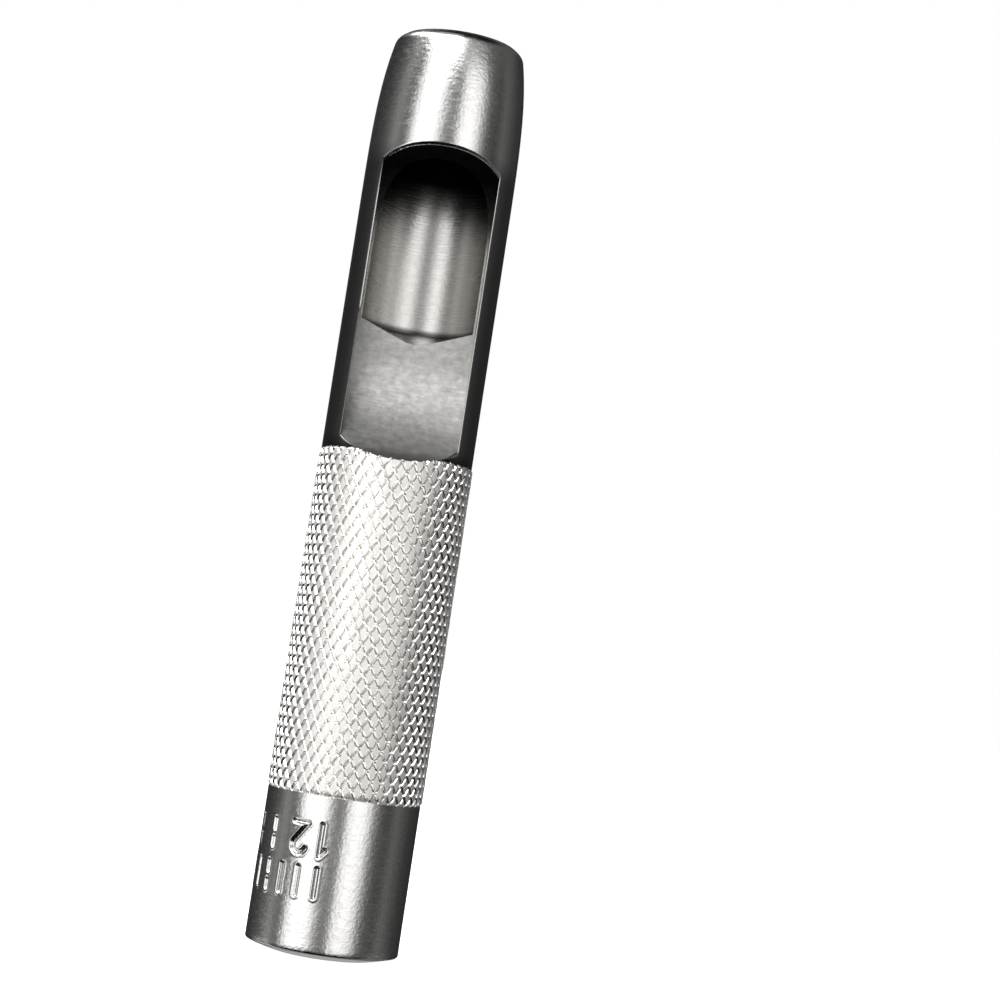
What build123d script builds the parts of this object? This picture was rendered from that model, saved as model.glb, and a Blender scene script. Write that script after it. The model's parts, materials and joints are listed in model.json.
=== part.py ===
"""Hollow punch for 12 mm eyelet and grommet holes in leather, turned and milled from one steel bar.

Millimetres. The origin is the centre of the striking face, +Z runs up the bar to the cutting edge, and the
ejection window faces -Y. The bar is described as its four zones, each a solid of its own between the planes
where one machining operation ends and the next begins.
"""

import os
from math import cos, radians, sin, tan

from build123d import *

# Overall
LENGTH = 96.9  # striking face to cutting edge
BODY_R = 8.0  # ground outside of the bar
HOLE_R = 6.0  # radius of the hole that the punch cuts, its stamped size

# Zones along the bar
HEAD_TOP = 16.5  # where the plain head ends and the knurl begins
GRIP_TOP = 52.1  # where the knurl ends
SHANK_TOP = 86.0  # a full ring of metal closes above the window here

# Striking face: a flat centre, then a shallow crown out to a rounded rim
FACE_R = 5.0
CROWN_DROP = 0.7
RIM_ROUND = 0.25
CROWN_MIDDLE = 0.42  # share of the drop reached halfway out: a little under half, so the crown is convex

# Knurl: its crests stand proud of the bar, and both ends are bevelled
KNURL_R = 8.15
KNURL_BEVEL = 0.3

# Nose: the outside falls away from the bar as the fourth power of the height, then a short steep bevel
# brings it down to the cutting edge
NOSE_START = 76.4
NOSE_FALL = 1.3
BEVEL_HEIGHT = 0.9
EDGE_LAND = 0.08  # width of the cutting edge outside the bore

# Bore: drilled from the cutting end, with the point of the drill left at its bottom
BORE_DEPTH = 30.6
DRILL_POINT = 136.0  # full angle, degrees

# Ejection window: milled from the side by a round cutter that travels along the bar
CUTTER_R = 12.5
WINDOW_WIDTH = 12.2
FLOOR_DEPTH = 0.8  # the window's floor lies this far in front of the bar's axis
CUTTER_LOW = 62.7
CUTTER_HIGH = 73.05
WINDOW_BREAK = 0.25  # edge break round the window

# Struck size mark on the head. It reads upright with the cutting edge pointing down.
MARK_HEIGHT = 3.6
MARK_STROKE = 0.5
MARK_DEPTH = 0.25
MARK_Z = 12.0
ONE_AZIMUTH = -11.6  # degrees round the bar from the window's side
TWO_AZIMUTH = -28.5

# Row of plain struck bars below the size mark
BAR_Z = 7.5
BAR_COUNT = 4
BAR_FIRST = -11.6
BAR_STEP = -14.4

# Derived
NOSE_RISE = LENGTH - NOSE_START
bevel_fraction = (NOSE_RISE - BEVEL_HEIGHT) / NOSE_RISE
bevel_r = BODY_R - NOSE_FALL * bevel_fraction**4
point_length = HOLE_R / tan(radians(DRILL_POINT / 2))
bore_bottom = LENGTH - BORE_DEPTH
cutter_y = -(FLOOR_DEPTH + CUTTER_R)
crown_end_r = BODY_R - RIM_ROUND
crown_middle_r = (FACE_R + crown_end_r) / 2
crown_middle_z = CROWN_MIDDLE * CROWN_DROP


def surface_plane(azimuth: float, height: float) -> Plane:
    """Plane on the head's side at an azimuth and height, turned so that marks read with the edge down."""
    turn = radians(azimuth)
    outward = Vector(sin(turn), -cos(turn), 0)
    centre = outward * BODY_R + Vector(0, 0, height)
    return Plane(origin=centre, x_dir=(-cos(turn), -sin(turn), 0), z_dir=outward)


# The whole bar as turned. The quartic nose is a Bezier curve with four level control points and one drop.
with BuildSketch(Plane.XZ) as bar_outline:
    with BuildLine():
        Polyline((0, LENGTH), (0, 0), (FACE_R, 0))
        ThreePointArc((FACE_R, 0), (crown_middle_r, crown_middle_z), (crown_end_r, CROWN_DROP))
        CenterArc((crown_end_r, CROWN_DROP + RIM_ROUND), RIM_ROUND, -90, 90)
        Line((BODY_R, CROWN_DROP + RIM_ROUND), (BODY_R, NOSE_START))
        curve_rise = bevel_fraction * NOSE_RISE
        Bezier(
            *[(BODY_R, NOSE_START + curve_rise * step / 4) for step in range(4)],
            (bevel_r, NOSE_START + curve_rise),
        )
        Polyline((bevel_r, LENGTH - BEVEL_HEIGHT), (HOLE_R + EDGE_LAND, LENGTH), (0, LENGTH))
    make_face()

with BuildSketch(Plane.XZ) as bore_outline:
    with BuildLine():
        Polyline(
            (0, LENGTH), (HOLE_R, LENGTH), (HOLE_R, bore_bottom), (0, bore_bottom - point_length), close=True
        )
    make_face()

with BuildSketch(Plane.YZ) as window_outline:
    with Locations((cutter_y, (CUTTER_LOW + CUTTER_HIGH) / 2)):
        SlotCenterToCenter(CUTTER_HIGH - CUTTER_LOW, 2 * CUTTER_R, rotation=90)

# Cutting nose: the sharpened ring that does the cutting
with BuildPart() as cutting_nose:
    revolve(bar_outline.sketch, axis=Axis.Z)
    revolve(bore_outline.sketch, axis=Axis.Z, mode=Mode.SUBTRACT)
    split(bisect_by=Plane.XY.offset(SHANK_TOP), keep=Keep.TOP)

# Window shank: the tube, the drill's cone and the window that the punched discs leave by
with BuildPart() as window_shank:
    revolve(bar_outline.sketch, axis=Axis.Z)
    revolve(bore_outline.sketch, axis=Axis.Z, mode=Mode.SUBTRACT)
    extrude(window_outline.sketch, amount=WINDOW_WIDTH / 2, both=True, mode=Mode.SUBTRACT)
    split(bisect_by=Plane.XY.offset(SHANK_TOP), keep=Keep.BOTTOM)
    split(bisect_by=Plane.XY.offset(GRIP_TOP), keep=Keep.TOP)
    window_sides = window_shank.edges().filter_by(Axis.Z).filter_by_position(Axis.Y, -BODY_R, -BODY_R / 2)
    chamfer(window_sides, WINDOW_BREAK)

# Knurled grip: the window's lower ramp runs out in its top
with BuildPart() as knurled_grip:
    with BuildSketch(Plane.XY.offset(HEAD_TOP)):
        Circle(KNURL_R)
    extrude(amount=GRIP_TOP - HEAD_TOP)
    chamfer(knurled_grip.edges().filter_by(GeomType.CIRCLE), KNURL_BEVEL)
    extrude(window_outline.sketch, amount=WINDOW_WIDTH / 2, both=True, mode=Mode.SUBTRACT)

# Striking head with its struck marks
with BuildPart() as striking_head:
    revolve(bar_outline.sketch, axis=Axis.Z)
    split(bisect_by=Plane.XY.offset(HEAD_TOP), keep=Keep.BOTTOM)
    half = MARK_HEIGHT / 2
    hook = half / 2
    with BuildSketch(surface_plane(ONE_AZIMUTH, MARK_Z)):
        with BuildLine():
            Polyline((-hook, half - hook), (0, half), (0, -half))
        trace(line_width=MARK_STROKE)
    extrude(amount=MARK_DEPTH, both=True, mode=Mode.SUBTRACT)
    with BuildSketch(surface_plane(TWO_AZIMUTH, MARK_Z)):
        with BuildLine():
            ThreePointArc((-hook, half - hook), (0, half), (hook, half - hook))
            Polyline((hook, half - hook), (-hook, -half), (hook, -half))
        trace(line_width=MARK_STROKE)
    extrude(amount=MARK_DEPTH, both=True, mode=Mode.SUBTRACT)
    for bar in range(BAR_COUNT):
        with BuildSketch(surface_plane(BAR_FIRST + bar * BAR_STEP, BAR_Z)):
            Rectangle(MARK_STROKE, MARK_HEIGHT)
        extrude(amount=MARK_DEPTH, both=True, mode=Mode.SUBTRACT)

cutting_nose.part.label = "cutting_nose"
window_shank.part.label = "window_shank"
knurled_grip.part.label = "knurled_grip"
striking_head.part.label = "striking_head"

os.makedirs("parts", exist_ok=True)
export_step(cutting_nose.part, "parts/cutting_nose.step")
export_step(window_shank.part, "parts/window_shank.step")
export_step(knurled_grip.part, "parts/knurled_grip.step")
export_step(striking_head.part, "parts/striking_head.step")
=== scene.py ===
"""Looks of a hollow punch for 12 mm grommet holes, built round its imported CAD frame.

Each zone of the bar is a class that builds its own mesh in millimetres and dresses it: the cutting nose, the
window shank, the knurled grip and the striking head. Sizes that the frame knows are read from it. Fields that
end in columns, rows or steps say how finely a part is divided.
"""

import json
import logging
import math
import random
from dataclasses import dataclass, field, replace
from enum import Enum, IntEnum
from typing import NamedTuple

import bmesh
import bpy
from mathutils import Matrix, Vector


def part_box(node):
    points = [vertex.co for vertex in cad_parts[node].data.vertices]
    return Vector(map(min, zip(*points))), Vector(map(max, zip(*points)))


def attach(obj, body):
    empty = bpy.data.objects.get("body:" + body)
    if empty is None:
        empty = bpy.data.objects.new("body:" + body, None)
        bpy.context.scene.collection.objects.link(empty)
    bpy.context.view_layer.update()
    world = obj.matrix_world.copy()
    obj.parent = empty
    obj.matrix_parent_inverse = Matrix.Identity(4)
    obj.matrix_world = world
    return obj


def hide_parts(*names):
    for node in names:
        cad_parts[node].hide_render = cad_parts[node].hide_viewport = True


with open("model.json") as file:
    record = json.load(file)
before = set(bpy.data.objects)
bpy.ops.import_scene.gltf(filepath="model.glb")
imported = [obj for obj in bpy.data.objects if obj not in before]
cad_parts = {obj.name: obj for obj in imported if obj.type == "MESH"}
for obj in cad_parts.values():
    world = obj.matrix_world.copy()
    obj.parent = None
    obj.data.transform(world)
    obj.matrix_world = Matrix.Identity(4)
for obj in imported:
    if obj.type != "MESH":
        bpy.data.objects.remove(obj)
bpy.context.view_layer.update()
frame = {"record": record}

log = logging.getLogger("hollow_punch")

MM = 0.001  # metres in a millimetre
FULL_TURN = 2 * math.pi

Point = tuple[float, float, float]
Row = list[Point]
Stops = tuple[tuple[float, float], ...]


# ---------------------------------------- the bar


class Zone(Enum):
    """The four zones of the bar, named as their CAD nodes."""

    NOSE = "cutting_nose"
    SHANK = "window_shank"
    GRIP = "knurled_grip"
    HEAD = "striking_head"


@dataclass(frozen=True)
class Bar:
    """Sizes that the zones share, in millimetres, with heights from the striking face.

    Attributes:
        radius: ground outside of the bar.
        crest_radius: crests of the knurl.
        bore_radius: the hole that the punch cuts.
        head_top: where the knurl starts.
        grip_top: where the knurl ends.
        shank_top: where the nose starts.
        tip: the cutting edge.
        bore_bottom: the shoulder of the drilled bore.
        nose_start: where the outside starts to fall away to the nose.
        nose_fall: how far the outside would fall by the tip without the bevel.
        bevel_height: height of the bevel at the cutting edge.
        edge_land: width of the flat left at the cutting edge.
    """

    radius: float
    crest_radius: float
    bore_radius: float
    head_top: float
    grip_top: float
    shank_top: float
    tip: float
    bore_bottom: float
    nose_start: float = 76.4
    nose_fall: float = 1.3
    bevel_height: float = 0.9
    edge_land: float = 0.08

    @classmethod
    def from_frame(cls) -> "Bar":
        """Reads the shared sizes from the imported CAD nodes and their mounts.

        Returns:
            The bar's sizes.
        """
        boxes = {zone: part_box(zone.value) for zone in Zone}
        bore = next(m for m in frame["record"]["mounts"] if m["name"] == "cutting_bore")
        tip = boxes[Zone.NOSE][1].z / MM
        return cls(
            radius=boxes[Zone.SHANK][1].x / MM,
            crest_radius=boxes[Zone.GRIP][1].x / MM,
            bore_radius=bore["dims"]["r_mm"],
            head_top=boxes[Zone.HEAD][1].z / MM,
            grip_top=boxes[Zone.GRIP][1].z / MM,
            shank_top=boxes[Zone.SHANK][1].z / MM,
            tip=tip,
            bore_bottom=tip - bore["dims"]["length_mm"],
        )

    def outside(self, height: float) -> float:
        """Radius of the ground outside, which falls away to the nose as the fourth power of the height.

        Args:
            height: height above the striking face.

        Returns:
            The radius there.
        """
        rise = max(0.0, (height - self.nose_start) / (self.tip - self.nose_start))
        return self.radius - self.nose_fall * rise**4


@dataclass(frozen=True)
class WindowCut:
    """The ejection window, milled from -Y by a round cutter that travels along the bar. Millimetres.

    Attributes:
        cutter_radius: radius of the cutter, which both ramps take.
        half_width: half the cutter's width.
        floor: y of the flat floor.
        low: height of the cutter's centre at the lower end of its travel.
        high: height of the cutter's centre at the upper end of its travel.
    """

    cutter_radius: float = 12.5
    half_width: float = 6.1
    floor: float = -0.8
    low: float = 62.7
    high: float = 73.05

    @property
    def cutter_y(self) -> float:
        """How far forward the cutter's centre runs."""
        return self.floor - self.cutter_radius

    def depth_at(self, height: float) -> float:
        """The milled surface's y at a height."""
        past = max(self.low - height, height - self.high, 0.0)
        return self.cutter_y + math.sqrt(max(0.0, self.cutter_radius**2 - past**2))

    def height_at(self, y: float, upper: bool) -> float:
        """The height at which the milled surface reaches a depth.

        Args:
            y: the depth.
            upper: whether the upper or the lower ramp is meant.

        Returns:
            The height above the striking face.
        """
        reach = math.sqrt(self.cutter_radius**2 - (y - self.cutter_y) ** 2)
        return self.high + reach if upper else self.low - reach


def smooth(value: float) -> float:
    """Smooth step of a value clamped to 0 to 1."""
    value = min(1.0, max(0.0, value))
    return value * value * (3 - 2 * value)


def spaced(first: float, last: float, steps: int) -> list[float]:
    """Evenly spaced values from first to last, both included."""
    return [first + (last - first) * step / steps for step in range(steps + 1)]


def wrapped(angle: float) -> float:
    """The same angle between minus half a turn and half a turn."""
    return (angle + math.pi) % FULL_TURN - math.pi


def around(radius: float, angle: float, height: float) -> Point:
    """Point on the bar at a radius, an angle from -Y towards +X, and a height."""
    return radius * math.sin(angle), -radius * math.cos(angle), height


def ring(radius: float, height: float, columns: int, opening: float = 0.0) -> Row:
    """Row of points round the bar, open by an angle on each side of -Y.

    Args:
        radius: radius of the row.
        height: height of the row.
        columns: number of steps round.
        opening: half angle left open in front, in radians.

    Returns:
        The points, from the right of the opening round the back to its left.
    """
    return [around(radius, angle, height) for angle in spaced(opening, FULL_TURN - opening, columns)]


class Shell:
    """Collects strips of quads in millimetres and welds them into one closed piece.

    Attributes:
        weld: corners closer than this are joined.
        sliver: edges shorter than this are dissolved.
        mesh: the faces so far.
    """

    weld = 1e-4
    sliver = 1e-5

    def __init__(self, mesh: bmesh.types.BMesh | None = None) -> None:
        """Starts with no faces, or with those of a mesh.

        Args:
            mesh: a mesh to go on from.
        """
        self.mesh = mesh or bmesh.new()

    def strip(self, rows: list[Row], finish: int = 0, flip: bool = False) -> None:
        """Adds the quads between rows of equal length.

        Args:
            rows: rows of points, in order.
            finish: index of the material slot.
            flip: whether to turn the faces over.
        """
        made = [[self.mesh.verts.new(point) for point in row] for row in rows]
        for lower, upper in zip(made, made[1:]):
            for a, b, c, d in zip(lower, lower[1:], upper[1:], upper):
                corners = (d, c, b, a) if flip else (a, b, c, d)
                self.mesh.faces.new(corners).material_index = finish

    def bridge(self, inner: Row, outer: Row, finish: int = 0) -> None:
        """Joins two closed rings whose point counts differ.

        Args:
            inner: the inner ring, its last point on its first.
            outer: the outer ring, its last point on its first.
            finish: index of the material slot.
        """
        rings = [[self.mesh.verts.new(point) for point in loop[:-1]] for loop in (inner, outer)]
        edges = [self.mesh.edges.new(pair) for loop in rings for pair in zip(loop, loop[1:] + loop[:1])]
        for face in bmesh.ops.bridge_loops(self.mesh, edges=edges)["faces"]:
            face.material_index = finish

    def cap(self, loop: Row, finish: int = 0) -> None:
        """Adds one flat face round a loop of points.

        Args:
            loop: the points, in order.
            finish: index of the material slot.
        """
        self.mesh.faces.new([self.mesh.verts.new(point) for point in loop]).material_index = finish

    def piece(
        self, name: str, zone: Zone, slot: str, finishes: list[bpy.types.Material], crease: float = 30.0
    ) -> bpy.types.Object:
        """Welds the strips and makes the piece that stands for a CAD node.

        Args:
            name: name of the piece.
            zone: the CAD node that it stands for.
            slot: the record's material slot; not used.
            finishes: its materials, in slot order.
            crease: edges sharper than this angle, in degrees, stay sharp.

        Returns:
            The new object, riding on the root body.
        """
        bmesh.ops.remove_doubles(self.mesh, verts=self.mesh.verts, dist=self.weld)
        bmesh.ops.dissolve_degenerate(self.mesh, edges=self.mesh.edges, dist=self.sliver)
        bmesh.ops.recalc_face_normals(self.mesh, faces=self.mesh.faces)
        bmesh.ops.transform(self.mesh, matrix=Matrix.Scale(MM, 4), verts=self.mesh.verts)
        data = bpy.data.meshes.new(name)
        self.mesh.to_mesh(data)
        self.mesh.free()
        data.polygons.foreach_set("use_smooth", [True] * len(data.polygons))
        data.set_sharp_from_angle(angle=math.radians(crease))
        for finish in finishes:
            data.materials.append(finish)
        piece = bpy.data.objects.new(name, data)
        bpy.context.scene.collection.objects.link(piece)
        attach(piece, "root")
        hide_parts(zone.value)
        return piece


# ---------------------------------------- finishes


def linear(code: str) -> tuple[float, float, float, float]:
    """Turns an sRGB hex colour into linear light.

    Args:
        code: colour as RRGGBB.

    Returns:
        Linear red, green, blue and an alpha of 1.
    """
    parts = [int(code[place : place + 2], 16) / 255 for place in (0, 2, 4)]
    red, green, blue = (p / 12.92 if p <= 0.04045 else ((p + 0.055) / 1.055) ** 2.4 for p in parts)
    return red, green, blue, 1.0


def add_node(
    tree: bpy.types.NodeTree, kind: str, settings: dict[str | int, object] | None = None,
    **links: bpy.types.NodeSocket,
) -> bpy.types.Node:
    """Adds a node with its settings and links.

    Args:
        tree: the node tree.
        kind: the node's type, without its ShaderNode in front.
        settings: node properties by name, and socket values by socket name or number.
        links: output sockets to link, by input name with underscores for spaces, or in_N for input N.

    Returns:
        The new node.
    """
    node = tree.nodes.new(f"ShaderNode{kind}")
    for name, value in (settings or {}).items():
        if isinstance(name, int) or name in node.inputs:
            node.inputs[name].default_value = value
        else:
            setattr(node, name, value)
    for name, source in links.items():
        target = int(name[3:]) if name.startswith("in_") else name.replace("_", " ")
        tree.links.new(source, node.inputs[target])
    return node


def add_ramp(tree: bpy.types.NodeTree, source: bpy.types.NodeSocket, stops: Stops) -> bpy.types.NodeSocket:
    """Adds a ramp of greys.

    Args:
        tree: the node tree.
        source: output socket with the place on the ramp.
        stops: position and grey of each stop.

    Returns:
        The ramp's output.
    """
    node = add_node(tree, "ValToRGB", Fac=source)
    elements = node.color_ramp.elements
    while len(elements) > 1:
        elements.remove(elements[-1])
    elements[0].position, elements[0].color = stops[0][0], (stops[0][1],) * 3 + (1,)
    for place, grey in stops[1:]:
        elements.new(place).color = (grey, grey, grey, 1)
    return node.outputs[0]


@dataclass(frozen=True)
class BareSteel:
    """Bare tool steel. The scratches run round the bar, as grinding and drilling leave them.

    Attributes:
        name: the finish's name.
        colour: reflectance as sRGB hex.
        roughness: mean roughness.
        spread: how far roughness strays from the mean.
        line_mm: spacing of the marks along the bar.
        reach_mm: length of a mark round the bar.
        groove: bump strength of the marks.
        dent_mm: size of the soft unevenness.
        dent: bump strength of the unevenness.
        mottle: share of its brightness that the steel keeps in the unevenness's low places.
        darkening: heights along the bar, and the share of its brightness that the steel keeps at each; it
            paints shade onto the finishes of the window, the bore and the outside beside the window.
    """

    name: str
    colour: str
    roughness: float
    spread: float
    line_mm: float
    reach_mm: float
    groove: float
    dent_mm: float
    dent: float
    mottle: float = 0.8
    darkening: Stops = ()

    def material(self) -> bpy.types.Material:
        """Builds the node material.

        Returns:
            The material.
        """
        material = bpy.data.materials.new(self.name)
        material.use_nodes = True
        tree = material.node_tree
        shader = tree.nodes["Principled BSDF"]
        shader.inputs["Metallic"].default_value = 1.0
        place = add_node(tree, "TexCoord").outputs["Object"]
        across, along = 1 / (self.reach_mm * MM), 1 / (self.line_mm * MM)
        stretch = {"operation": "MULTIPLY", 1: (across, across, along)}
        stretched = add_node(tree, "VectorMath", stretch, in_0=place).outputs[0]
        marks = add_node(tree, "TexNoise", {"Scale": 1.0, "Detail": 3.0, "Roughness": 0.6}, Vector=stretched)
        dents = add_node(tree, "TexNoise", {"Scale": 1 / (self.dent_mm * MM), "Detail": 2.0}, Vector=place)
        colour = linear(self.colour)
        dull = tuple(self.mottle * part for part in colour[:3]) + (1.0,)
        tint = add_node(tree, "Mix", {"data_type": "RGBA", 6: dull, 7: colour}, in_0=dents.outputs["Fac"])
        colour_out = tint.outputs[2]
        # Darkens the colour by height along the bar; on the window's, the bore's and the outside's finishes
        # this is painted shade.
        if self.darkening:
            low, high = self.darkening[0][0], self.darkening[-1][0]
            level = add_node(tree, "SeparateXYZ", Vector=place).outputs["Z"]
            share = add_node(tree, "MapRange", {"From Min": low * MM, "From Max": high * MM}, Value=level)
            stops = tuple(((height - low) / (high - low), keep) for height, keep in self.darkening)
            kept_share = add_ramp(tree, share.outputs[0], stops)
            scaled = add_node(tree, "VectorMath", {"operation": "SCALE"}, in_0=colour_out, in_3=kept_share)
            colour_out = scaled.outputs[0]
        tree.links.new(colour_out, shader.inputs["Base Color"])
        smoothest, roughest = self.roughness - self.spread, self.roughness + self.spread
        rough = add_node(
            tree, "MapRange", {"From Min": 0.3, "From Max": 0.7, "To Min": smoothest, "To Max": roughest},
            Value=marks.outputs["Fac"],
        )
        tree.links.new(rough.outputs[0], shader.inputs["Roughness"])
        soft = add_node(
            tree, "Bump", {"Strength": self.dent, "Distance": self.dent_mm * MM * 0.1},
            Height=dents.outputs["Fac"],
        )
        fine = add_node(
            tree, "Bump", {"Strength": self.groove, "Distance": self.line_mm * MM * 0.2},
            Height=marks.outputs["Fac"], Normal=soft.outputs[0],
        )
        tree.links.new(fine.outputs[0], shader.inputs["Normal"])
        return material


# ---------------------------------------- the zones


@dataclass
class CuttingNose:
    """The sharpened ring: ground outside, a steep bevel at the edge, bored inside. Millimetres.

    Attributes:
        bevel_bulge: how far the bevel's middle stands out.
    """

    bar: Bar
    columns: int = 256
    outside_rows: int = 40
    bevel_rows: int = 6
    bore_rows: int = 12
    bevel_bulge: float = 0.16

    def turned(self, profile: list[tuple[float, float]]) -> list[Row]:
        """Turns a profile of radii and heights into closed rings."""
        return [ring(radius, height, self.columns) for radius, height in profile]

    def build(self, ground: bpy.types.Material, drilled: bpy.types.Material) -> bpy.types.Object:
        """Builds and dresses the nose.

        Args:
            ground: finish of the outside.
            drilled: finish of the bore.

        Returns:
            The piece.
        """
        bar = self.bar
        bevel_low = bar.tip - bar.bevel_height
        edge_radius = bar.bore_radius + bar.edge_land
        profile = [(bar.outside(z), z) for z in spaced(bar.shank_top, bevel_low, self.outside_rows)]
        start = profile[-1][0]
        for part in spaced(0, 1, self.bevel_rows)[1:]:
            bulge = self.bevel_bulge * math.sin(math.pi * part)
            radius = start + (edge_radius - start) * part + bulge
            profile.append((radius, bevel_low + bar.bevel_height * part))
        shell = Shell()
        shell.strip(self.turned(profile))
        inner = [(edge_radius, bar.tip), (bar.bore_radius, bar.tip)]
        inner += [(bar.bore_radius, z) for z in spaced(bar.tip, bar.shank_top, self.bore_rows)]
        shell.strip(self.turned(inner), finish=1)
        joint = [(bar.bore_radius, bar.shank_top), (bar.outside(bar.shank_top), bar.shank_top)]
        shell.strip(self.turned(joint))
        return shell.piece("sharpened_nose", Zone.NOSE, "ground_steel", [ground, drilled])


class ShankFinish(IntEnum):
    """Material slots of the shank."""

    OUTSIDE = 0
    MILLED = 1
    DRILLED = 2
    GROUND = 3


class EdgeRow(NamedTuple):
    """One row of the window's edge on its +X side: the outer end of its edge break, then the inner end."""

    angle: float
    outer_height: float
    x: float
    y: float
    height: float


@dataclass
class WindowShank:
    """The tube with the ejection window, the drill's cone and the milled ramps. Millimetres.

    Attributes:
        edge_break: width of the rounding on the window's outer edge.
        apex_steps: how many of the arch's steps lie beside the bore.
        drill_half_angle: half the angle of the drill's point, in degrees.
        corner_y: y of the corner where a side wall meets the outside.
        side_angle: angle of that corner.
        cone_slope: how far the cone widens per unit of height.
        point: height of the cone's point.
        floor_start: height at which the cone breaks through the floor.
        run_out: angle at which the lower ramp reaches the knurl.
        rows: the window's edge, from the knurl to the top of the upper arch.
    """

    bar: Bar
    cut: WindowCut
    columns: int = 192
    bore_columns: int = 128
    edge_break: float = 0.3
    edge_steps: int = 6
    arch_steps: int = 28
    apex_steps: int = 12
    run_out_steps: int = 10
    wall_steps: int = 10
    cone_rows: int = 4
    top_rows: int = 6
    drill_half_angle: float = 68.0
    corner_y: float = field(init=False)
    side_angle: float = field(init=False)
    cone_slope: float = field(init=False)
    point: float = field(init=False)
    floor_start: float = field(init=False)
    run_out: float = field(init=False)
    rows: list[EdgeRow] = field(init=False)
    shell: Shell = field(init=False)

    def __post_init__(self) -> None:
        """Works out where the window's side walls meet the outside, and where the drill's cone lies."""
        self.corner_y = -math.sqrt(self.bar.radius**2 - self.cut.half_width**2)
        self.side_angle = math.asin(self.cut.half_width / self.bar.radius)
        self.cone_slope = math.tan(math.radians(self.drill_half_angle))
        self.point = self.bar.bore_bottom - self.bar.bore_radius / self.cone_slope
        self.floor_start = self.point + abs(self.cut.floor) / self.cone_slope
        self.run_out = math.acos(-self.cut.depth_at(self.bar.grip_top) / self.bar.radius)
        self.rows = self.edge_rows()
        self.shell = Shell()

    def straight_heights(self) -> list[float]:
        """Heights of the rows where the window has upright side walls."""
        inner_y = self.corner_y + self.edge_break
        low, high = self.cut.height_at(inner_y, False), self.cut.height_at(inner_y, True)
        # where each stretch starts, and its number of rows
        stretches = [(low, 20), (self.cut.low, 5), (self.floor_start, 12), (self.bar.bore_bottom, 8)]
        stretches.append((self.cut.high, 22))
        heights = [high]
        ends = [height for height, _ in stretches[1:]] + [high]
        for (start, steps), end in zip(stretches, ends):
            heights += spaced(start, end, steps)[:-1]
        return sorted(heights)

    def arch_row(self, angle: float, upper: bool, width: float) -> EdgeRow:
        """One row of the window's arched end.

        Args:
            angle: angle of the arch's edge on the outside.
            upper: whether the upper or the lower arch is meant.
            width: width of the edge break there.

        Returns:
            The row.
        """
        radius, cut = self.bar.radius, self.cut
        sign = 1 if upper else -1
        y = -radius * math.cos(angle)
        height = cut.height_at(y, upper)
        forward = y - cut.cutter_y
        slope = forward * math.sin(angle) / math.sqrt(cut.cutter_radius**2 - forward**2)
        length = math.hypot(slope, 1)
        outer_angle = angle + width * slope / length / radius
        outer_height = height + sign * width / length
        inner_y = y + width
        return EdgeRow(
            outer_angle, outer_height, radius * math.sin(angle), inner_y, cut.height_at(inner_y, upper)
        )

    def edge_rows(self) -> list[EdgeRow]:
        """All rows of the window's edge, from the knurl to the top of the upper arch."""
        bar, cut = self.bar, self.cut
        corner_low = cut.height_at(self.corner_y, False)
        rows = []
        for angle in spaced(self.run_out, self.side_angle, self.run_out_steps):
            height = cut.height_at(-bar.radius * math.cos(angle), False)
            taper = smooth((height - bar.grip_top) / (corner_low - bar.grip_top))
            rows.append(self.arch_row(angle, False, self.edge_break * taper))
        side = self.side_angle + self.edge_break / bar.radius
        for height in self.straight_heights():
            rows.append(EdgeRow(side, height, cut.half_width, self.corner_y + self.edge_break, height))
        bore_apex = math.acos((bar.bore_radius + self.edge_break) / bar.radius)
        arch = spaced(self.side_angle, bore_apex, self.apex_steps)
        arch += spaced(bore_apex, 0.0, self.arch_steps - self.apex_steps)[1:]
        return rows + [self.arch_row(angle, True, self.edge_break) for angle in arch]

    def build(
        self, oiled: bpy.types.Material, milled: bpy.types.Material, drilled: bpy.types.Material,
        ground: bpy.types.Material,
    ) -> bpy.types.Object:
        """Builds and dresses the shank.

        Args:
            shaded: finish of the outside, with painted shade beside the window and against the knurl.
            milled: finish of the window.
            drilled: finish of the bore and its cone, and of the edge break on the left, which it makes duller
                than the right one and paints with shade: darker below the bore's shoulder, a dark line there,
                and near black at the top.
            ground: finish of the walls and of the other edge breaks.

        Returns:
            The piece.
        """
        self.add_outside()
        self.add_edge_break()
        self.add_walls()
        self.add_milled()
        self.add_bore()
        bar, top = self.bar, self.bar.shank_top
        self.shell.bridge(
            ring(bar.bore_radius, top, self.bore_columns), ring(bar.outside(top), top, self.columns)
        )
        half, floor_y = self.rows[0].x, self.cut.depth_at(bar.grip_top)
        line = [(x, floor_y, bar.grip_top) for x in spaced(-half, half, 2 * self.wall_steps)]
        self.shell.cap(ring(bar.radius, bar.grip_top, self.columns, self.run_out) + line[1:-1])
        finishes = [oiled, milled, drilled, ground]
        return self.shell.piece("ejection_window_shank", Zone.SHANK, "milled_steel", finishes)

    def add_outside(self) -> None:
        """Adds the ground outside, open where the window is."""
        bar = self.bar
        made = []
        for angle, height, *_ in self.rows:
            made.append(ring(bar.outside(height), height, self.columns, max(0.0, angle)))
        above = spaced(self.rows[-1].outer_height, bar.shank_top, self.top_rows)[1:]
        made += [ring(bar.outside(z), z, self.columns) for z in above]
        self.shell.strip(made, finish=ShankFinish.OUTSIDE)

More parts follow.
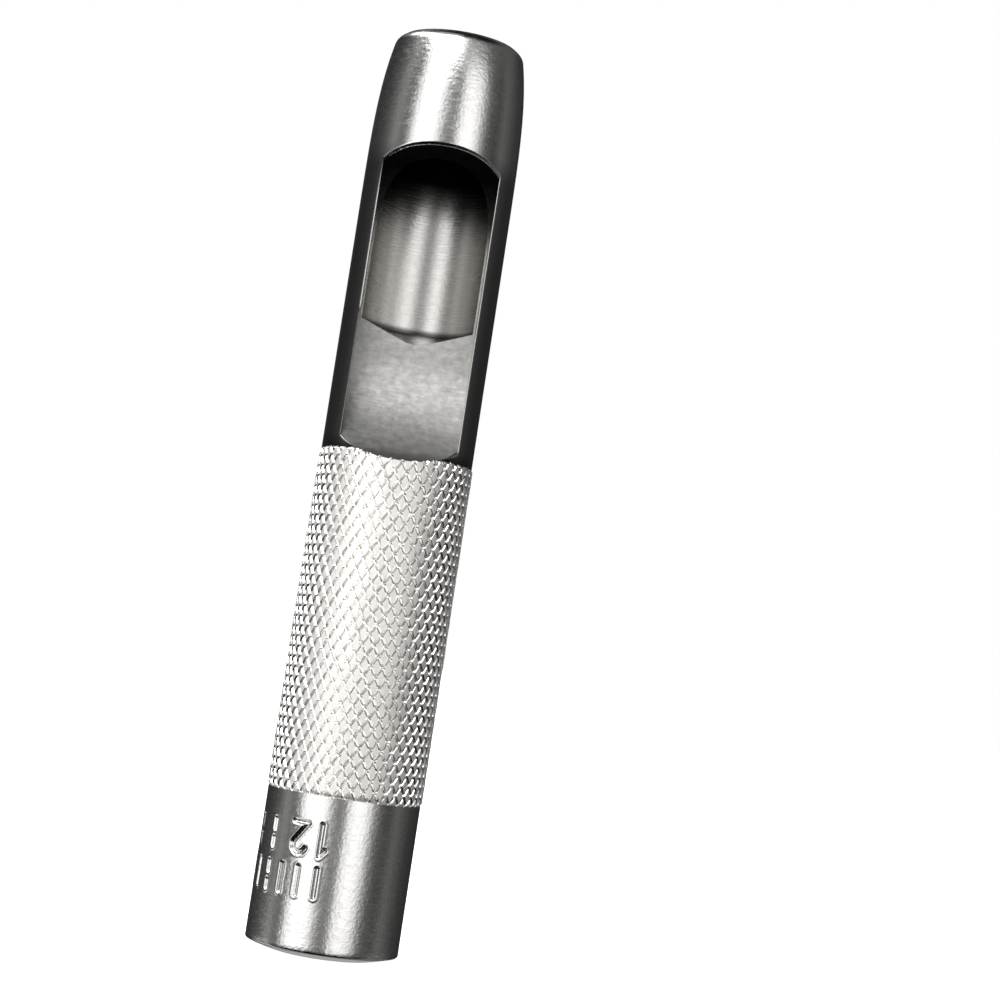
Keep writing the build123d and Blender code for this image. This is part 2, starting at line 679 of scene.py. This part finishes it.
    def add_edge_break(self) -> None:
        """Adds the rounding between the outside and the window, on both sides."""
        made = []
        for angle, outer_height, x, y, height in self.rows:
            outer = Vector(around(self.bar.outside(outer_height), angle, outer_height))
            inner = Vector((x, y, height))
            edge_y = -math.sqrt(max(0.0, self.bar.radius**2 - x**2))
            edge = Vector((x, edge_y, (outer_height + height) / 2))
            made.append([
                tuple(outer * (1 - t) ** 2 + edge * 2 * t * (1 - t) + inner * t**2)
                for t in spaced(0, 1, self.edge_steps)
            ])
        self.shell.strip(made, finish=ShankFinish.GROUND, flip=True)
        corner = len(self.rows) - self.arch_steps - 1
        mirrored = [[(-x, y, z) for x, y, z in row] for row in made]
        # The left edge break takes the drilled finish: duller than the right one, and carrying that finish's
        # painted shade, which darkens it below the bore's shoulder, draws a dark line there and darkens its
        # top.
        self.shell.strip(mirrored[: corner + 1], finish=ShankFinish.DRILLED)
        self.shell.strip(mirrored[corner:], finish=ShankFinish.GROUND)

    def add_walls(self) -> None:
        """Adds the window's upright side walls."""
        heights = self.straight_heights()
        inner_y = self.corner_y + self.edge_break
        for x in (self.cut.half_width, -self.cut.half_width):
            made = []
            for z in heights:
                made.append([(x, y, z) for y in spaced(inner_y, self.cut.depth_at(z), self.wall_steps)])
            self.shell.strip(made, finish=ShankFinish.GROUND, flip=x > 0)

    def hole_at(self, y: float, height: float) -> float:
        """Half width of the hole that the drill leaves in the milled surface at a depth and height."""
        if height <= self.point:
            return 0.0
        reach = self.bar.bore_radius
        if height < self.bar.bore_bottom:
            reach = (height - self.point) * self.cone_slope
        return math.sqrt(max(0.0, reach**2 - y**2))

    def add_milled(self) -> None:
        """Adds the window's floor and ramps, open where the drill has passed."""
        made = []
        for row in self.rows:
            y = self.cut.depth_at(row.height)
            reach = spaced(self.hole_at(y, row.height), row.x, self.wall_steps)
            made.append([(x, y, row.height) for x in reach])
        self.shell.strip(made, finish=ShankFinish.MILLED)
        mirrored = [[(-x, y, z) for x, y, z in row] for row in made]
        self.shell.strip(mirrored, finish=ShankFinish.MILLED, flip=True)

    def add_bore(self) -> None:
        """Adds the drilled bore and the cone left by the drill's point."""
        bar = self.bar
        made: list[Row] = []
        for height in spaced(self.point, self.floor_start, self.cone_rows)[:-1]:
            made.append(ring((height - self.point) * self.cone_slope, height, self.bore_columns))
        for row in self.rows:
            if row.height < self.floor_start - 1e-6:
                continue
            reach = min(bar.bore_radius, (row.height - self.point) * self.cone_slope)
            opening = math.acos(min(1.0, max(-1.0, -self.cut.depth_at(row.height) / reach)))
            made.append(ring(reach, row.height, self.bore_columns, opening))
        above = spaced(self.rows[-1].height, bar.shank_top, self.top_rows)[1:]
        made += [ring(bar.bore_radius, z, self.bore_columns) for z in above]
        self.shell.strip(made, finish=ShankFinish.DRILLED, flip=True)


class GripFinish(IntEnum):
    """Material slots of the grip."""

    CREST = 0
    MILLED = 1
    GROOVE = 2


@dataclass
class KnurledGrip:
    """Diamond knurl, rolled in between two bevels, with the window's run-out in its top. Millimetres.

    Attributes:
        starts: grooves round the bar, each way.
        lead: height of one diamond.
        groove: half width of a groove, as a share of a diamond.
        depth: depth of a groove.
        crown: how far a crest's middle stands above its rim.
        bevel: depth of the bevel at each end.
        uneven: how far a crest may lie below the next.
        pressure: how hard each of the two wheels pressed, as a share of the depth.
        wander: how far single grooves stray from that, in multiples of uneven.
        stops: where a diamond is divided, across and along.
    """

    bar: Bar
    cut: WindowCut
    starts: int = 42
    lead: float = 2.11
    groove: float = 0.17
    depth: float = 0.28
    crown: float = 0.04
    bevel: float = 0.3
    uneven: float = 0.035
    pressure: tuple[float, float] = (0.9, 1.15)
    wander: float = 3.0
    stops: tuple[float, ...] = (0.0, 0.08, 0.17, 0.39, 0.61, 0.83, 0.92, 1.0)

    def sink(self, a: float, b: float, depths: tuple[float, float, float, float]) -> float:
        """How far the surface lies below the crests at a place in a diamond.

        Args:
            a: place across the first set of grooves, 0 to 1.
            b: place across the second set of grooves, 0 to 1.
            depths: relative depth of the grooves at a = 0, a = 1, b = 0 and b = 1.

        Returns:
            The depth in millimetres.
        """
        cuts = (
            depths[0] * max(0.0, 1 - a / self.groove),
            depths[1] * max(0.0, 1 - (1 - a) / self.groove),
            depths[2] * max(0.0, 1 - b / self.groove),
            depths[3] * max(0.0, 1 - (1 - b) / self.groove),
        )
        round_off = self.crown * ((2 * a - 1) ** 2 + (2 * b - 1) ** 2) / 2
        return self.depth * max(cuts) + round_off

    def bite(self, angle: float, radius: float) -> float:
        """Height of the window's run-out over the grip's side, or of the grip's top where there is none.

        Args:
            angle: angle from -Y in radians.
            radius: radius of the grip there.

        Returns:
            The height above the striking face.
        """
        y = -radius * math.cos(angle)
        if y > self.cut.depth_at(self.bar.grip_top):
            return self.bar.grip_top
        return min(self.bar.grip_top, self.cut.height_at(y, False))

    def add_diamond(
        self, mesh: bmesh.types.BMesh, i: int, j: int, depths: tuple[float, float, float, float], lift: float
    ) -> None:
        """Adds one diamond of the flat knurl with the halves of the four grooves round it.

        Args:
            mesh: the flat mesh.
            i: number of the groove of the first set below it.
            j: number of the groove of the second set below it.
            depths: relative depth of the four grooves.
            lift: how far its crest lies below the others.
        """
        grid = []
        for a in self.stops:
            row = []
            for b in self.stops:
                angle = math.pi * (i + a + j + b) / self.starts
                height = self.bar.head_top + (i + a - j - b) * self.lead / 2
                inside = smooth(4 * min(a, 1 - a, b, 1 - b))
                row.append(mesh.verts.new((angle, height, self.sink(a, b, depths) + lift * inside)))
            grid.append(row)
        low, high = self.groove - 1e-6, 1 - self.groove - 1e-6
        for a, near, far in zip(self.stops, grid, grid[1:]):
            for b, corners in zip(self.stops, zip(near, near[1:], far[1:], far)):
                on_crest = low <= min(a, b) and max(a, b) < high
                finish = GripFinish.CREST if on_crest else GripFinish.GROOVE
                mesh.faces.new(corners).material_index = finish

    def unrolled(self) -> bmesh.types.BMesh:
        """Makes the knurl flat: x is the angle, y the height above any run-out, z the depth below the crests.

        Returns:
            The flat mesh, longer than the grip at both ends.
        """
        rng = random.Random(12)
        bar = self.bar
        mesh = bmesh.new()
        rows = math.ceil((bar.grip_top - bar.head_top) / self.lead) + 2
        first, second = (
            [share + rng.uniform(-self.wander, self.wander) * self.uneven for _ in range(self.starts)]
            for share in self.pressure
        )
        for total in range(self.starts * 2):
            for difference in range(-1, 2 * rows + 2):
                if (total + difference) % 2:
                    continue
                i, j = (total + difference) // 2, (total - difference) // 2
                depths = (
                    first[i % self.starts], first[(i + 1) % self.starts],
                    second[j % self.starts], second[(j + 1) % self.starts],
                )
                self.add_diamond(mesh, i, j, depths, rng.uniform(0, self.uneven))
        return mesh

    def trim(self, mesh: bmesh.types.BMesh) -> None:
        """Cuts the flat knurl to the grip's two ends, and divides it where the bevels start."""
        low, high = self.bar.head_top, self.bar.grip_top
        for height, facing, clear in (
            (low, 1, True), (high, -1, True), (low + self.bevel, 1, False), (high - self.bevel, -1, False)
        ):
            bmesh.ops.bisect_plane(
                mesh, geom=mesh.verts[:] + mesh.edges[:] + mesh.faces[:], dist=1e-5,
                plane_co=(0, height, 0), plane_no=(0, facing, 0), clear_inner=clear,
            )

    def build(
        self, crests: bpy.types.Material, milled: bpy.types.Material, grooves: bpy.types.Material
    ) -> bpy.types.Object:
        """Builds and dresses the grip.

        Args:
            crests: finish of the diamonds.
            milled: finish of the window's run-out.
            grooves: finish of the grooves between the diamonds.

        Returns:
            The piece.
        """
        bar = self.bar
        mesh = self.unrolled()
        for vert in mesh.verts:
            vert.co.y += bar.grip_top - self.bite(vert.co.x, bar.radius)
        self.trim(mesh)
        for vert in mesh.verts:
            angle, level, sink = vert.co
            height = level - bar.grip_top + self.bite(angle, bar.radius)
            to_end = min(height - bar.head_top, bar.grip_top - height)
            radius = min(bar.crest_radius - sink, bar.crest_radius - self.bevel + max(0.0, to_end))
            if level > bar.grip_top - Shell.weld:
                height = self.bite(angle, radius)
            vert.co = around(radius, angle, height)
        bmesh.ops.remove_doubles(mesh, verts=mesh.verts, dist=2 * Shell.weld)
        shell = Shell(mesh)
        self.close_end(shell, bar.head_top, False)
        self.close_end(shell, bar.grip_top, True)
        finishes = [crests, milled, grooves]
        return shell.piece("diamond_knurled_grip", Zone.GRIP, "knurled_steel", finishes, crease=32.0)

    def close_end(self, shell: Shell, height: float, upper: bool) -> None:
        """Closes one end of the grip, following the window's run-out at the top.

        Args:
            shell: the grip's mesh.
            height: the end's height.
            upper: whether this is the top.
        """
        edge_verts = {v for e in shell.mesh.edges if e.is_boundary for v in e.verts}
        middle = (self.bar.head_top + self.bar.grip_top) / 2
        rim = [v for v in edge_verts if (v.co.z > middle) == upper]
        rim.sort(key=lambda v: math.atan2(v.co.x, -v.co.y))
        floor_y = self.cut.depth_at(self.bar.grip_top)
        inner: Row = []
        for vert in rim:
            x, y, z = vert.co
            if upper and z < height - 1e-3:  # on the window's run-out
                inner.append((x * 0.96, floor_y, height))
            else:
                inner.append((x * 0.9, max(y * 0.9, floor_y) if upper else y * 0.9, height))
        outer = [tuple(v.co) for v in rim]
        finish = GripFinish.MILLED if upper else GripFinish.CREST
        shell.strip([outer + outer[:1], inner + inner[:1]], finish=finish, flip=not upper)
        shell.cap(inner if upper else inner[::-1], finish=finish)


class Glyph(Enum):
    """Marks struck into the head. Each is a list of strokes on a cell 2 wide and 4 high, read edge down."""

    ONE = "one"
    TWO = "two"
    BAR = "bar"
    SPLIT = "split bar"

    def strokes(self) -> list[list[tuple[float, float]]]:
        """Centre lines of the mark's strokes, from -1 to 1 across and -2 to 2 up."""
        if self is Glyph.ONE:
            return [[(-0.55, 1.2), (0.1, 1.9), (0.1, -1.9)]]
        if self is Glyph.BAR:
            return [[(0.0, -1.7), (0.0, 1.7)]]
        if self is Glyph.SPLIT:
            return [[(0.0, -1.7), (0.0, -0.35)], [(0.0, 0.65), (0.0, 1.7)]]
        turn = spaced(math.radians(165), math.radians(-35), 9)
        bow = [(0.95 * math.cos(angle), 0.95 + 0.95 * math.sin(angle)) for angle in turn]
        return [bow + [(-0.95, -1.85), (1.0, -1.85)]]


@dataclass(frozen=True)
class Mark:
    """One struck mark.

    Attributes:
        glyph: which mark it is.
        azimuth: azimuth of its middle, in degrees from -Y towards +X.
        height: height of its middle on the bar, in millimetres.
    """

    glyph: Glyph
    azimuth: float
    height: float


@dataclass
class StrikingHead:
    """The plain head that the mallet strikes, with its size number and a row of plain bars. Millimetres.

    Attributes:
        face_radius: radius of the flat middle of the struck end.
        crown_drop: how far the struck end falls away from its middle to its rim.
        rim_round: radius of the rim.
        glyph_height: height of a mark.
        stroke: half width of a stroke at the surface.
        strike_depth: depth of a stroke.
        lip: height of the burr round a stroke.
        lip_width: width of that burr.
        reach: how far from its middle a mark can act.
        size_row: height of the size number's middle.
        bar_row: height of the plain bars' middles.
        fine_step: size of the quads round the marks.
        fine_sides: azimuths, in degrees, between which the quads are fine.
    """

    bar: Bar
    face_radius: float = 5.0
    crown_drop: float = 0.7
    rim_round: float = 0.25
    glyph_height: float = 3.3
    stroke: float = 0.34
    strike_depth: float = 0.26
    lip: float = 0.03
    lip_width: float = 0.12
    reach: float = 2.3
    size_row: float = 12.1
    bar_row: float = 7.8
    fine_step: float = 0.085
    fine_sides: tuple[float, float] = (-96.0, 4.0)
    marks: list[Mark] = field(init=False)

    def __post_init__(self) -> None:
        """Sets out the struck marks."""
        self.marks = [Mark(Glyph.ONE, -11.6, self.size_row), Mark(Glyph.TWO, -28.5, self.size_row)]
        self.marks += [Mark(Glyph.BAR, azimuth, self.bar_row) for azimuth in (-11.6, -26.0, -40.4, -69.2)]
        self.marks += [Mark(Glyph.SPLIT, azimuth, self.bar_row) for azimuth in (-54.8, -83.6)]
        self.marks += [Mark(Glyph.SPLIT, azimuth, self.size_row) for azimuth in (-54.0, -76.0)]

    def strike(self, angle: float, height: float) -> float:
        """How far the surface is pushed in at a place on the side, with a slight burr round each stroke.

        Args:
            angle: angle from -Y in radians.
            height: height above the striking face.

        Returns:
            The depth, negative on a burr.
        """
        unit = self.glyph_height / 4
        nearest = 2 * self.reach
        for mark in self.marks:
            across = -(angle - math.radians(mark.azimuth)) * self.bar.radius
            up = -(height - mark.height)
            if abs(across) > self.reach or abs(up) > self.reach:
                continue
            for line in mark.glyph.strokes():
                for (x1, y1), (x2, y2) in zip(line, line[1:]):
                    start = Vector((x1 * unit, y1 * unit))
                    run = Vector((x2 * unit, y2 * unit)) - start
                    offset = Vector((across, up)) - start
                    part = min(1.0, max(0.0, offset.dot(run) / run.length_squared))
                    nearest = min(nearest, (offset - run * part).length)
        pressed = self.strike_depth * (1 - smooth(nearest / self.stroke))
        raised = self.lip * math.exp(-(((nearest - self.stroke * 1.15) / self.lip_width) ** 2))
        return pressed - raised

    def build(self, struck: bpy.types.Material) -> bpy.types.Object:
        """Builds and dresses the head.

        Args:
            struck: finish of the head.

        Returns:
            The piece.
        """
        bar = self.bar
        low_mark, high_mark = self.bar_row - self.reach, self.size_row + self.reach
        left, right = (math.radians(side) for side in self.fine_sides)
        fine = round((right - left) * bar.radius / self.fine_step)
        angles = spaced(right, left + FULL_TURN, 90)
        angles += spaced(left + FULL_TURN, right + FULL_TURN, fine)[1:]
        rim = self.crown_drop + self.rim_round
        heights = spaced(rim, low_mark, 8)[:-1]
        heights += spaced(low_mark, high_mark, round((high_mark - low_mark) / self.fine_step))
        heights += spaced(high_mark, bar.head_top, 6)[1:]
        rows = []
        crown_end = bar.radius - self.rim_round
        for part in spaced(0, 1, 12):
            radius = self.face_radius + (crown_end - self.face_radius) * part
            rows.append((radius, self.crown_drop * part**1.25))
        for turn in spaced(0, math.pi / 2, 6)[1:]:
            rows.append((crown_end + self.rim_round * math.sin(turn), rim - self.rim_round * math.cos(turn)))
        made = [[around(radius, angle, z) for angle in angles] for radius, z in rows]
        for z in heights[1:]:
            made.append([around(bar.radius - self.strike(wrapped(angle), z), angle, z) for angle in angles])
        shell = Shell()
        shell.strip(made)
        shell.cap(made[0][:-1][::-1])
        shell.cap(made[-1][:-1])
        return shell.piece("struck_head", Zone.HEAD, "ground_steel", [struck])


# ---------------------------------------- the studio


@dataclass(frozen=True)
class Studio:
    """White room: two tall soft boxes in front, dark flags at the sides, a strong light above, the camera.

    Attributes:
        bands: light from the soft boxes, as degrees from -Y towards +X and radiance.
        table: light from the table below, in the same way, dark where the camera stands over it.
        overhead: light from above, in the same way.
        twist: how far the soft boxes lean to +X as they rise, in radians of azimuth per unit of height.
        slope: how far the lower edge of the overhead light falls towards +X.
        peak: the radiance at full strength.
        horizon: share of the soft boxes over the table, by height of the ray: 0 straight down, 1 straight up.
        shoulder: share of the overhead light over the soft boxes, in the same way.
        ceiling: share of all light that is left, in the same way.
        distance: how far in front of the bar the camera stands, in millimetres.
        eye_height: height of the camera.
        aim_height: height on the bar's axis that it looks at.
        focal: focal length, in thousandths of the frame's width.
        offset: where the frame's middle lies from there, right and up, in thousandths of its width.
        lean: roll of the camera in degrees.
        floor_half: half the floor's width, in metres.
    """

    bands: Stops = (
        (-180, 0.06), (-150, 0.04), (-120, 0.08), (-105, 0.16), (-89, 0.36), (-76, 0.2), (-67, 0.3),
        (-58, 1.6), (-48, 2.2), (-30, 2.2), (-21, 1.6), (-11, 0.48), (-2, 0.28), (6, 0.42),
        (14, 1.65), (24, 2.0), (38, 1.7), (50, 0.45), (60, 0.14), (76, 0.08), (92, 0.18),
        (104, 0.12), (124, 0.06), (160, 0.03), (180, 0.06),
    )
    table: Stops = (
        (-180, 0.5), (-155, 0.2), (-132, 0.1), (-122, 1.4), (-92, 1.4), (-80, 0.0), (20, 0.0), (62, 0.08),
        (80, 0.5), (118, 0.5), (130, 0.1), (160, 0.2), (180, 0.5),
    )
    overhead: Stops = (
        (-180, 0.1), (-140, 0.4), (-118, 4.0), (-100, 10.0), (-10, 10.0), (3, 3.0), (14, 0.6), (60, 0.15),
        (180, 0.1),
    )
    twist: float = 0.28
    slope: float = 0.12
    peak: float = 10.0
    horizon: Stops = ((0.35, 0.0), (0.42, 1.0))
    shoulder: Stops = ((0.75, 0.0), (0.81, 1.0))
    ceiling: Stops = ((0.87, 1.0), (0.93, 0.1), (1.0, 0.03))
    distance: float = 242.0
    eye_height: float = 31.0
    aim_height: float = 42.1
    focal: float = 2300.0
    offset: tuple[float, float] = (117.8, 52.5)
    lean: float = 8.8
    floor_half: float = 40.0

    def build(self) -> None:
        """Makes the light, the floor and the camera."""
        self.light()
        self.floor()
        self.camera()

    def light(self) -> None:
        """Makes the world: soft boxes and flags for the steel, plain white behind."""
        world = bpy.data.worlds.new("studio")
        bpy.context.scene.world = world
        world.use_nodes = True
        tree = world.node_tree
        tree.nodes.clear()
        ray = add_node(tree, "TexCoord").outputs["Generated"]
        parts = add_node(tree, "SeparateXYZ", Vector=ray)
        back = add_node(tree, "Math", {"operation": "MULTIPLY", 1: -1.0}, in_0=parts.outputs["Y"])
        azimuth = add_node(
            tree, "Math", {"operation": "ARCTAN2"}, in_0=parts.outputs["X"], in_1=back.outputs[0]
        ).outputs[0]
        leaning = add_node(
            tree, "Math", {"operation": "MULTIPLY_ADD", 1: -self.twist}, in_0=parts.outputs["Z"],
            in_2=azimuth,
        )
        up = {"From Min": -1.0, "From Max": 1.0}
        elevation = add_node(tree, "MapRange", up, Value=parts.outputs["Z"]).outputs[0]
        sloping = add_node(
            tree, "Math", {"operation": "MULTIPLY_ADD", 1: self.slope / 2}, in_0=parts.outputs["X"],
            in_2=elevation,
        ).outputs[0]
        stripes = self.by_azimuth(tree, leaning.outputs[0], self.bands)
        table = self.by_azimuth(tree, azimuth, self.table)
        overhead = self.by_azimuth(tree, azimuth, self.overhead)
        lower = add_node(
            tree, "Mix", {"data_type": "RGBA"}, in_0=add_ramp(tree, elevation, self.horizon),
            in_6=table, in_7=stripes,
        )
        upper = add_node(
            tree, "Mix", {"data_type": "RGBA"}, in_0=add_ramp(tree, sloping, self.shoulder),
            in_6=lower.outputs[2], in_7=overhead,
        )
        mixed = add_node(
            tree, "Mix", {"data_type": "RGBA", "blend_type": "MULTIPLY", 0: 1.0}, in_6=upper.outputs[2],
            in_7=add_ramp(tree, elevation, self.ceiling),
        )
        boxes = add_node(tree, "Background", {"Strength": self.peak}, Color=mixed.outputs[2])
        white = add_node(tree, "Background", {"Color": (1, 1, 1, 1), "Strength": 1.0})
        path = add_node(tree, "LightPath")
        choice = add_node(
            tree, "MixShader", in_0=path.outputs["Is Camera Ray"], in_1=boxes.outputs[0],
            in_2=white.outputs[0],
        )
        add_node(tree, "OutputWorld", Surface=choice.outputs[0])

    def by_azimuth(
        self, tree: bpy.types.NodeTree, azimuth: bpy.types.NodeSocket, levels: Stops
    ) -> bpy.types.NodeSocket:
        """Adds a ramp of light by azimuth.

        Args:
            tree: the world's node tree.
            azimuth: socket with the azimuth in radians.
            levels: degrees and radiance of each stop.

        Returns:
            The ramp's output.
        """
        place = add_node(tree, "MapRange", {"From Min": -math.pi, "From Max": math.pi}, Value=azimuth)
        stops = tuple(((degrees + 180) / 360, level / self.peak) for degrees, level in levels)
        return add_ramp(tree, place.outputs[0], stops)

    def floor(self) -> None:
        """Makes the pale floor that the punch stands on."""
        half = self.floor_half
        corners = [(-half, -half, 0), (half, -half, 0), (half, half, 0), (-half, half, 0)]
        data = bpy.data.meshes.new("floor")
        data.from_pydata(corners, [], [(0, 1, 2, 3)])
        material = bpy.data.materials.new("pale_floor")
        material.use_nodes = True
        shader = material.node_tree.nodes["Principled BSDF"]
        shader.inputs["Base Color"].default_value = linear("F4F4F4")
        shader.inputs["Roughness"].default_value = 0.9
        shader.inputs["Emission Color"].default_value = (1, 1, 1, 1)
        shader.inputs["Emission Strength"].default_value = 0.9
        data.materials.append(material)
        floor = bpy.data.objects.new("floor", data)
        floor.visible_glossy = False
        floor.visible_shadow = False
        bpy.context.scene.collection.objects.link(floor)

    def camera(self) -> None:
        """Makes the camera, in front of the window and rolled so that the punch leans."""
        data = bpy.data.cameras.new("camera")
        data.sensor_width = 36.0
        data.lens = data.sensor_width * self.focal / 1000
        data.clip_start, data.clip_end = 0.01, 100.0
        camera = bpy.data.objects.new("camera", data)
        eye = Vector((0, -self.distance, self.eye_height))
        target = Vector((0, 0, self.aim_height))
        ahead = (target - eye).normalized()
        level = Vector((1, 0, 0))
        upright = level.cross(ahead).normalized()
        lean = math.radians(self.lean)
        right = level * math.cos(lean) + upright * math.sin(lean)
        up = upright * math.cos(lean) - level * math.sin(lean)
        reach = (target - eye).length / self.focal
        aim = target + right * self.offset[0] * reach + up * self.offset[1] * reach
        forward = (aim - eye).normalized()
        right = (right - forward * right.dot(forward)).normalized()
        up = right.cross(forward)
        turn = Matrix((right, up, -forward)).transposed()
        camera.matrix_world = Matrix.Translation(eye * MM) @ turn.to_4x4()
        bpy.context.scene.collection.objects.link(camera)
        bpy.context.scene.camera = camera
        bpy.context.scene.view_settings.view_transform = "Standard"


def tool_steels() -> dict[str, bpy.types.Material]:
    """Makes the finishes of the bar.

    Returns:
        The materials, by the first word of their names.
    """
    # Tool steel, ground and lightly polished: soft-edged reflections under a fine mottled grain. Its grinding
    # lines are about a twentieth of a millimetre apart, and are drawn five times as coarse so that they show.
    ground = BareSteel(
        "ground_tool_steel", "CFCECC", roughness=0.19, spread=0.08, line_mm=0.25, reach_mm=1.0, groove=0.12,
        dent_mm=0.35, dent=0.55,
    )
    # The same beside the window, with painted shade: darker along the window and darkest in the corner
    # against the knurl.
    oiled = replace(
        ground, name="oiled_tool_steel", roughness=0.17, spread=0.05, dent_mm=0.3, dent=0.35,
        darkening=((52.0, 0.1), (53.2, 0.35), (54.0, 0.42), (82.0, 0.45), (84.5, 1.0)),
    )
    # The same, darker in a band round the rim of the struck end.
    struck = replace(
        ground, name="struck_tool_steel", roughness=0.17, spread=0.07, groove=0.1,
        darkening=((0.0, 1.0), (0.68, 1.0), (0.76, 0.5), (0.96, 0.5), (1.15, 1.0)),
    )
    # The same steel as the milling cutter leaves it: duller and flatter, with painted shade that darkens it
    # towards the knurl and turns it near black under the top of the window.
    milled = BareSteel(
        "milled_tool_steel", "C8C7C4", roughness=0.6, spread=0.08, line_mm=0.3, reach_mm=1.2, groove=0.3,
        dent_mm=0.8, dent=0.6, mottle=0.5,
        darkening=(
            (51.0, 0.15), (52.0, 0.35), (52.7, 0.6), (56.0, 0.72), (61.0, 1.0), (75.0, 1.0),
            (78.0, 0.15), (82.0, 0.02),
        ),
    )
    # Drilled steel: rings from the drill, and painted shade: darker on the cone below the bore's shoulder, a
    # dark line in the crease at the shoulder, and near black where the bore runs on into the nose.
    drilled = BareSteel(
        "drilled_tool_steel", "CAC8C5", roughness=0.29, spread=0.06, line_mm=0.16, reach_mm=40.0, groove=0.25,
        dent_mm=0.4, dent=0.3,
        darkening=(
            (66.2, 0.28), (66.35, 0.1), (66.6, 0.25), (67.0, 1.0), (78.5, 1.0), (81.0, 0.35), (83.0, 0.02),
        ),
    )
    # Knurled steel, as the wheels' teeth leave it: the crests stay bright and matt.
    knurled = BareSteel(
        "knurled_tool_steel", "FAF8F5", roughness=0.58, spread=0.1, line_mm=0.2, reach_mm=0.2, groove=0.6,
        dent_mm=0.14, dent=1.0, mottle=0.75,
    )
    # The same where the teeth have burnished the grooves: glossy, so that they mirror the dark flags.
    burnished = BareSteel(
        "burnished_tool_steel", "FAF8F5", roughness=0.24, spread=0.04, line_mm=0.3, reach_mm=0.3, groove=0.1,
        dent_mm=0.3, dent=0.2,
    )
    steels = (ground, oiled, struck, milled, drilled, knurled, burnished)
    return {steel.name.split("_")[0]: steel.material() for steel in steels}


def main() -> None:
    """Builds the studio and the four zones in order, and reports each piece."""
    logging.basicConfig(level=logging.INFO, format="%(message)s")
    bar = Bar.from_frame()
    cut = WindowCut()
    Studio().build()
    finish = tool_steels()
    pieces = [
        CuttingNose(bar).build(finish["ground"], finish["drilled"]),
        WindowShank(bar, cut).build(finish["oiled"], finish["milled"], finish["drilled"], finish["ground"]),
        KnurledGrip(bar, cut).build(finish["knurled"], finish["milled"], finish["burnished"]),
        StrikingHead(bar).build(finish["struck"]),
    ]
    for piece in pieces:
        log.info("made %s with %d faces", piece.name, len(piece.data.polygons))


if __name__ == "__main__":
    main()
